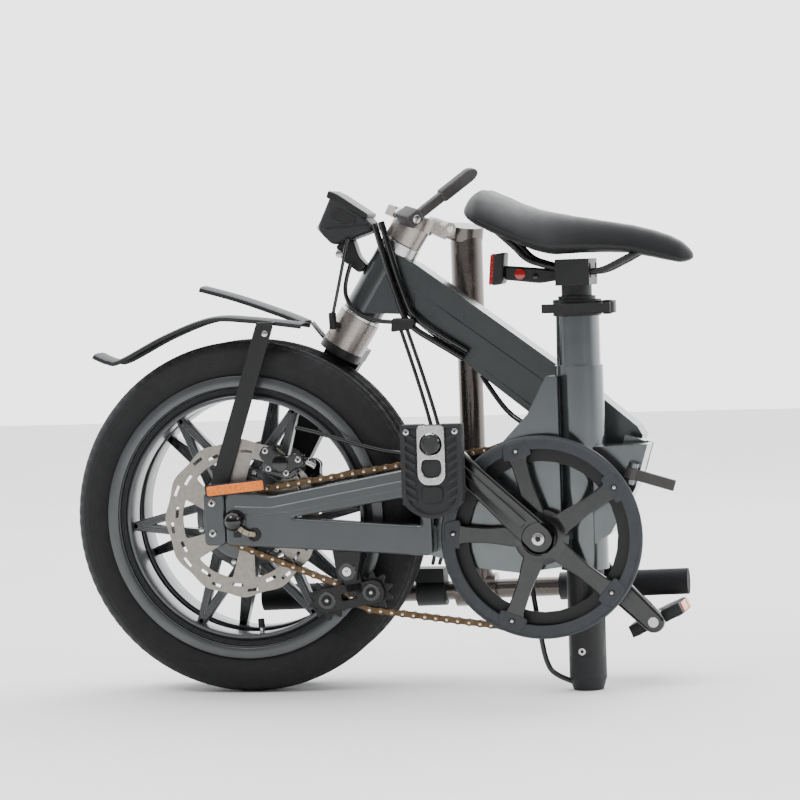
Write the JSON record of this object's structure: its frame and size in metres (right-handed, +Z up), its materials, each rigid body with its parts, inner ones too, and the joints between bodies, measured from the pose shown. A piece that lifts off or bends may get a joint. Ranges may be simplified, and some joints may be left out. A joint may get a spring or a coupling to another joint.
{
  "type": "folding bicycle",
  "caption": "Compact folding bicycle with small cast wheels, a rear hub motor, single-sided frame arms and a folding handlepost, standing folded on its wheels and seatpost.",
  "frame": {"origin": "centre of the seatpost's foot, on the floor", "axes": "+X toward the front of the rear half, +Y toward the rider's left, +Z up"},
  "size_m": [0.7239, 0.29, 0.593],
  "materials": {
    "frame_paint": "satin gunmetal paint",
    "casting": "satin titanium-coloured paint",
    "wheel_paint": "satin gunmetal paint",
    "brushed": "brushed",
    "steel": "machined",
    "chain_steel": "oiled",
    "rotor_steel": "ground",
    "black_metal": "gloss black anodised",
    "black_plastic": "satin",
    "guard_plastic": "matte slate",
    "tyre_rubber": "matte",
    "grip_rubber": "matte",
    "saddle_vinyl": "matte vinyl over foam",
    "reflector": "prismatic",
    "cell_wrap": "shrink-wrapped cells",
    "cable_skin": "gloss"
  },
  "bodies": {
    "rear_half": {"rear_frame": "frame_paint", "swingarm": "frame_paint", "frame_hinge_pin": "steel", "seat_clamp_collar": "casting", "rear_axle": "steel", "rear_axle_cap": "black_plastic", "rear_caliper": "black_metal", "rear_mudguard": "black_plastic", "side_reflector": "reflector", "tensioner_bracket": "black_metal", "chain": "chain_steel", "rear_hoses": "cable_skin", "battery_lead": "cable_skin"},
    "rear_wheel": {"rear_wheel": "wheel_paint", "motor_cover": "wheel_paint", "rear_tyre": "tyre_rubber", "rear_rotor": "rotor_steel"},
    "rear_sprocket": {"rear_sprocket": "steel"},
    "cranks": {"crank_spindle": "steel", "right_crank": "black_metal", "left_crank": "black_metal", "chainring": "black_metal", "chain_guard": "guard_plastic"},
    "right_pedal_axle": {"right_pedal_axle": "steel"},
    "left_pedal_axle": {"left_pedal_axle": "steel"},
    "right_pedal": {"right_pedal": "black_plastic"},
    "left_pedal": {"left_pedal": "black_plastic"},
    "tensioner": {"tensioner_cage": "black_metal"},
    "lower_pulley": {"lower_pulley": "black_plastic"},
    "upper_pulley": {"upper_pulley": "black_plastic"},
    "seat": {"seatpost": "black_metal", "battery_pack": "cell_wrap", "foot_cap": "black_plastic", "saddle_rails": "black_metal", "saddle": "saddle_vinyl", "rear_light": "black_plastic"},
    "seat_clamp_lever": {"seat_clamp_lever": "casting"},
    "frame_latch_lever": {"frame_latch_lever": "casting"},
    "front_half": {"front_frame": "frame_paint", "headset_cups": "steel", "headlight": "black_plastic", "front_cables": "cable_skin"},
    "steering": {"fork": "black_metal", "crown_sleeve": "brushed", "stem_head": "casting", "handlepost_pin": "steel", "front_axle": "steel", "front_caliper": "black_metal", "front_mudguard": "black_plastic"},
    "front_wheel": {"front_wheel": "wheel_paint", "front_tyre": "tyre_rubber", "front_rotor": "rotor_steel"},
    "stem_latch": {"stem_latch": "casting"},
    "handlepost": {"handlepost": "casting"},
    "bar": {"inner_post": "casting", "handlebar": "casting", "grips": "grip_rubber", "bar_controls": "black_plastic"},
    "right_brake_lever": {"right_brake_lever": "black_metal"},
    "left_brake_lever": {"left_brake_lever": "black_metal"}
  },
  "joints": [
    {"name": "frame_fold", "type": "hinge", "parent": "rear_half", "child": "front_half", "pos_m": [0.06235, 0.0375, 0.2523], "axis": [-0.2924, 0, -0.9563], "range_deg": [0, 180], "deforming": ["front_cables", "rear_hoses"]},
    {"name": "handlepost_fold", "type": "hinge", "parent": "steering", "child": "handlepost", "pos_m": [-0.172, 0.1, 0.5228], "axis": [0.693, -0.693, -0.199], "range_deg": [0, 157.5], "deforming": ["front_cables"]},
    {"name": "steer", "type": "hinge", "parent": "front_half", "child": "steering", "pos_m": [-0.23875, 0.075, 0.46315], "axis": [0.5299, 0, 0.848], "range_deg": [-2, 4], "deforming": ["front_cables"]},
    {"name": "crank_spin", "type": "hinge", "parent": "rear_half", "child": "cranks", "pos_m": [-0.04, 0, 0.175], "axis": [0, 1, 0], "range_deg": [-1, 60], "deforming": ["chain"]},
    {"name": "sprocket_spin", "type": "hinge", "parent": "rear_half", "child": "rear_sprocket", "pos_m": [-0.386, 0, 0.2], "axis": [0, 1, 0], "range_deg": [-5, 225]},
    {"name": "rear_wheel_spin", "type": "hinge", "parent": "rear_half", "child": "rear_wheel", "pos_m": [-0.386, 0, 0.2], "axis": [0, 1, 0], "continuous": true},
    {"name": "front_wheel_spin", "type": "hinge", "parent": "steering", "child": "front_wheel", "pos_m": [-0.392, 0.075, 0.2], "axis": [0, 1, 0], "continuous": true},
    {"name": "right_pedal_spin", "type": "hinge", "parent": "cranks", "child": "right_pedal_axle", "pos_m": [-0.14841, -0.105, 0.28154], "axis": [0, 1, 0], "continuous": true},
    {"name": "left_pedal_spin", "type": "hinge", "parent": "cranks", "child": "left_pedal_axle", "pos_m": [0.06841, 0.091, 0.06846], "axis": [0, 1, 0], "range_deg": [0, 50]},
    {"name": "right_pedal_fold", "type": "hinge", "parent": "right_pedal_axle", "child": "right_pedal", "pos_m": [-0.14841, -0.105, 0.28154], "axis": [-1, 0, 0], "range_deg": [0, 90]},
    {"name": "left_pedal_fold", "type": "hinge", "parent": "left_pedal_axle", "child": "left_pedal", "pos_m": [0.06841, 0.091, 0.06846], "axis": [-0.9063, 0, -0.4226], "range_deg": [0, 80]},
    {"name": "tensioner_swing", "type": "hinge", "parent": "rear_half", "child": "tensioner", "pos_m": [-0.2594, 0, 0.1406], "axis": [0, 1, 0], "range_deg": [-8, 8], "stiffness_Nm_per_rad": 1.2, "deforming": ["chain"]},
    {"name": "lower_pulley_spin", "type": "hinge", "parent": "tensioner", "child": "lower_pulley", "pos_m": [-0.286, 0, 0.1074], "axis": [0, 1, 0], "range_deg": [-320, 6]},
    {"name": "upper_pulley_spin", "type": "hinge", "parent": "tensioner", "child": "upper_pulley", "pos_m": [-0.235, 0, 0.116], "axis": [0, 1, 0], "range_deg": [-6, 320]},
    {"name": "seat_height", "type": "slide", "parent": "rear_half", "child": "seat", "axis": [0, 0, 1], "range_m": [0, 0.2], "deforming": ["battery_lead"]},
    {"name": "seat_clamp", "type": "hinge", "parent": "rear_half", "child": "seat_clamp_lever", "pos_m": [0.038, -0.022, 0.427], "axis": [0, 0, 1], "range_deg": [0, 110]},
    {"name": "frame_latch", "type": "hinge", "parent": "rear_half", "child": "frame_latch_lever", "pos_m": [0.05943, -0.03, 0.24274], "axis": [-0.2924, 0, -0.9563], "range_deg": [0, 80]},
    {"name": "stem_clamp", "type": "hinge", "parent": "steering", "child": "stem_latch", "pos_m": [-0.19952, 0.03696, 0.53593], "axis": [0.693, -0.693, -0.199], "range_deg": [-40, 30]},
    {"name": "bar_height", "type": "slide", "parent": "handlepost", "child": "bar", "axis": [0, 0, 1], "range_m": [0, 0.02], "deforming": ["front_cables"]},
    {"name": "right_brake", "type": "hinge", "parent": "bar", "child": "right_brake_lever", "pos_m": [-0.04095, 0.168, 0.10309], "axis": [0, 0, -1], "range_deg": [0, 10], "stiffness_Nm_per_rad": 2},
    {"name": "left_brake", "type": "hinge", "parent": "bar", "child": "left_brake_lever", "pos_m": [-0.26205, 0.168, 0.09691], "axis": [0, 0, 1], "range_deg": [0, 10], "stiffness_Nm_per_rad": 2}
  ],
  "couplings": [
    {"joint": "handlepost_fold", "follows": "frame_fold", "ratio": 0.875},
    {"joint": "sprocket_spin", "follows": "crank_spin", "ratio": 3.7143},
    {"joint": "lower_pulley_spin", "follows": "crank_spin", "ratio": -5.2},
    {"joint": "upper_pulley_spin", "follows": "crank_spin", "ratio": 5.2}
  ]
}
